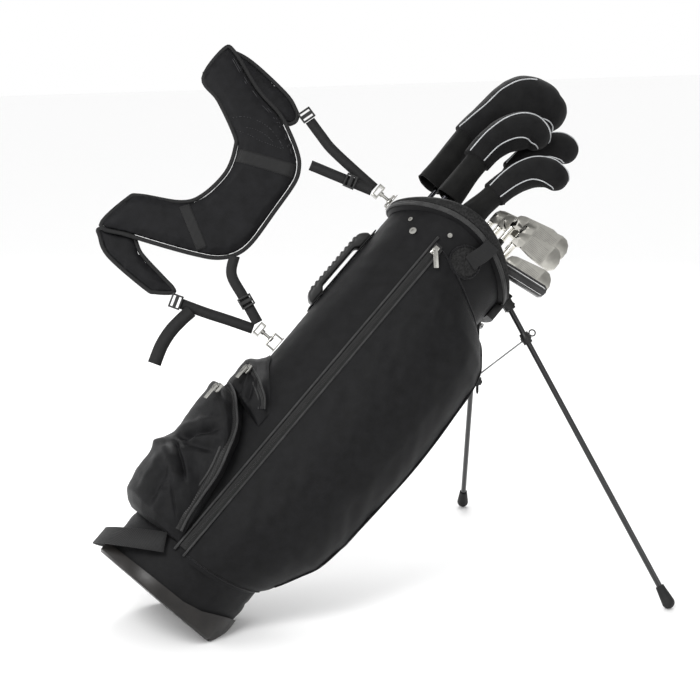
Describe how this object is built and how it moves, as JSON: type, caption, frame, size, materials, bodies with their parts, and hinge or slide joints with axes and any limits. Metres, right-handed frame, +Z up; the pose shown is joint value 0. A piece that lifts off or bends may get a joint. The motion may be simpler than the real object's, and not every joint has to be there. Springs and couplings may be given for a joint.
{
  "type": "golf club set in a stand bag",
  "caption": "Stand bag propped on two folding legs, with a double-strap harness, zipped pockets, covered woods, irons and a putter that slide out.",
  "frame": {"origin": "centre of the flat underside of the hinged toe, on the floor", "axes": "+Z up; the bag leans towards +X, with its legs symmetric about the XZ plane"},
  "size_m": [1.011, 0.7502, 1.0238],
  "materials": {
    "boot_rubber": "moulded rubber, slightly glossy",
    "polyester": "plain black polyester weave with a slight sheen",
    "knit_cover": "black knit and smooth neoprene with silver piping",
    "padding": "padded ribbed mesh",
    "webbing": "woven webbing",
    "black_plastic": "satin moulded plastic",
    "zip_tape": "grey coil zip with reflective piping",
    "nickel": "bright nickel plate",
    "leg_tube": "gloss black lacquer",
    "wire": "dark zinc-plated wire",
    "stay_alloy": "plain drawn alloy rod",
    "club_wood": "dark painted head on a steel shaft with a rubber grip",
    "club_steel": "plated steel shaft with a rubber grip",
    "iron_face": "satin cast steel with polished edges",
    "putter_black": "black finish with a silver line"
  },
  "bodies": {
    "bag": {"base_boot": "boot_rubber", "inner_floor": "black_plastic", "bag_shell": "polyester", "collar_ring": "padding", "top_divider": "padding", "stays": "stay_alloy", "rivets": "nickel", "side_pocket": "polyester", "main_zip_tape": "zip_tape", "ball_pocket": "polyester", "accessory_pocket": "polyester", "pocket_sliders": "nickel", "glove_patch": "padding", "lift_handle": "black_plastic", "grab_loop": "webbing", "hinge_bracket": "black_plastic", "umbrella_cord": "webbing", "d_rings": "nickel"},
    "toe": {"base_toe": "boot_rubber"},
    "near_leg": {"near_leg_tube": "leg_tube", "near_leg_fittings": "black_plastic", "near_leg_foot": "boot_rubber"},
    "far_leg": {"far_leg_tube": "leg_tube", "far_leg_fittings": "black_plastic", "far_leg_foot": "boot_rubber"},
    "near_link": {"near_link": "wire"},
    "far_link": {"far_link": "wire"},
    "carriage": {"push_rod": "black_plastic"},
    "main_zip_slider": {"main_zip_slider": "nickel"},
    "main_zip_tab": {"main_zip_pull": "nickel"},
    "ball_zip_tab": {"ball_zip_pull": "nickel"},
    "accessory_zip_tab": {"accessory_zip_pull": "nickel"},
    "cord_toggle": {"cord_toggle": "black_plastic"},
    "harness": {"harness_pad": "polyester", "harness_arms": "polyester", "harness_straps": "webbing", "harness_buckles": "black_plastic", "harness_hooks": "nickel"},
    "driver": {"driver_club": "club_wood", "driver_cover": "knit_cover"},
    "fairway_wood": {"fairway_club": "club_wood", "fairway_cover": "knit_cover"},
    "near_hybrid": {"near_hybrid_club": "club_wood", "near_hybrid_cover": "knit_cover"},
    "far_hybrid": {"far_hybrid_club": "club_wood", "far_hybrid_cover": "knit_cover"},
    "iron_a": {"iron_a_head": "iron_face", "iron_a_shaft": "club_steel"},
    "iron_b": {"iron_b_head": "iron_face", "iron_b_shaft": "club_steel"},
    "iron_c": {"iron_c_head": "iron_face", "iron_c_shaft": "club_steel"},
    "iron_d": {"iron_d_head": "iron_face", "iron_d_shaft": "club_steel"},
    "iron_e": {"iron_e_head": "iron_face", "iron_e_shaft": "club_steel"},
    "iron_f": {"iron_f_head": "iron_face", "iron_f_shaft": "club_steel"},
    "putter": {"putter_head": "putter_black", "putter_shaft": "club_steel"}
  },
  "joints": [
    {"name": "near_leg_hinge", "type": "hinge", "parent": "bag", "child": "near_leg", "pos_m": [0.63058, -0.054, 0.53989], "axis": [0.3681, 0.848, -0.3812], "range_deg": [0, 67]},
    {"name": "far_leg_hinge", "type": "hinge", "parent": "bag", "child": "far_leg", "pos_m": [0.63058, 0.054, 0.53989], "axis": [-0.3681, 0.848, 0.3812], "range_deg": [0, 67]},
    {"name": "near_link_joint", "type": "hinge", "parent": "near_leg", "child": "near_link", "pos_m": [0.6538, -0.07895, 0.47534], "axis": [0.3681, 0.848, -0.3812], "range_deg": [-78, 0]},
    {"name": "far_link_joint", "type": "hinge", "parent": "far_leg", "child": "far_link", "pos_m": [0.6538, 0.07895, 0.47534], "axis": [-0.3681, 0.848, 0.3812], "range_deg": [-78, 0]},
    {"name": "carriage_slide", "type": "slide", "parent": "bag", "child": "carriage", "axis": [0.7193, 0, 0.6947], "range_m": [-0.0526, 0]},
    {"name": "toe_flex", "type": "hinge", "parent": "bag", "child": "toe", "pos_m": [-0.028, 0, 0.004], "axis": [0, 1, 0], "range_deg": [0, 46]},
    {"name": "main_zip", "type": "slide", "parent": "bag", "child": "main_zip_slider", "axis": [0.7193, 0, 0.6947], "range_m": [-0.68, 0]},
    {"name": "main_zip_tab", "type": "hinge", "parent": "main_zip_slider", "child": "main_zip_tab", "pos_m": [0.43322, -0.10682, 0.66652], "axis": [0.3473, 0.866, -0.3597], "range_deg": [-45, 60]},
    {"name": "ball_zip_tab", "type": "hinge", "parent": "bag", "child": "ball_zip_tab", "pos_m": [0.03973, -0.02126, 0.43483], "axis": [0.693, 0.0698, -0.7176], "range_deg": [-60, 60]},
    {"name": "accessory_zip_tab", "type": "hinge", "parent": "bag", "child": "accessory_zip_tab", "pos_m": [0.10266, -0.01239, 0.46035], "axis": [0.6895, 0.1219, -0.714], "range_deg": [-60, 60]},
    {"name": "cord_toggle_slide", "type": "slide", "parent": "bag", "child": "cord_toggle", "axis": [0, 0, 1], "range_m": [-0.004, 0.1]},
    {"name": "harness_swing", "type": "hinge", "parent": "bag", "child": "harness", "pos_m": [0.31802, 0.075, 0.61883], "axis": [0.7193, 0, 0.6947], "range_deg": [-75, 75]},
    {"name": "driver_slide", "type": "slide", "parent": "bag", "child": "driver", "axis": [0.7193, 0, 0.6947], "range_m": [0, 0.85]},
    {"name": "fairway_wood_slide", "type": "slide", "parent": "bag", "child": "fairway_wood", "axis": [0.7193, 0, 0.6947], "range_m": [0, 0.85]},
    {"name": "near_hybrid_slide", "type": "slide", "parent": "bag", "child": "near_hybrid", "axis": [0.7193, 0, 0.6947], "range_m": [0, 0.85]},
    {"name": "far_hybrid_slide", "type": "slide", "parent": "bag", "child": "far_hybrid", "axis": [0.7193, 0, 0.6947], "range_m": [0, 0.85]},
    {"name": "iron_a_slide", "type": "slide", "parent": "bag", "child": "iron_a", "axis": [0.7193, 0, 0.6947], "range_m": [0, 0.85]},
    {"name": "iron_b_slide", "type": "slide", "parent": "bag", "child": "iron_b", "axis": [0.7193, 0, 0.6947], "range_m": [0, 0.85]},
    {"name": "iron_c_slide", "type": "slide", "parent": "bag", "child": "iron_c", "axis": [0.7193, 0, 0.6947], "range_m": [0, 0.85]},
    {"name": "iron_d_slide", "type": "slide", "parent": "bag", "child": "iron_d", "axis": [0.7193, 0, 0.6947], "range_m": [0, 0.85]},
    {"name": "iron_e_slide", "type": "slide", "parent": "bag", "child": "iron_e", "axis": [0.7193, 0, 0.6947], "range_m": [0, 0.85]},
    {"name": "iron_f_slide", "type": "slide", "parent": "bag", "child": "iron_f", "axis": [0.7193, 0, 0.6947], "range_m": [0, 0.85]},
    {"name": "putter_slide", "type": "slide", "parent": "bag", "child": "putter", "axis": [0.7193, 0, 0.6947], "range_m": [0, 0.85]}
  ],
  "couplings": [
    {"joint": "far_leg_hinge", "follows": "near_leg_hinge", "ratio": 1},
    {"joint": "near_link_joint", "follows": "near_leg_hinge", "ratio": -1.1633},
    {"joint": "far_link_joint", "follows": "near_leg_hinge", "ratio": -1.1633},
    {"joint": "carriage_slide", "follows": "near_leg_hinge", "m_per_rad": -0.044896},
    {"joint": "toe_flex", "follows": "near_leg_hinge", "ratio": 0.68657}
  ]
}
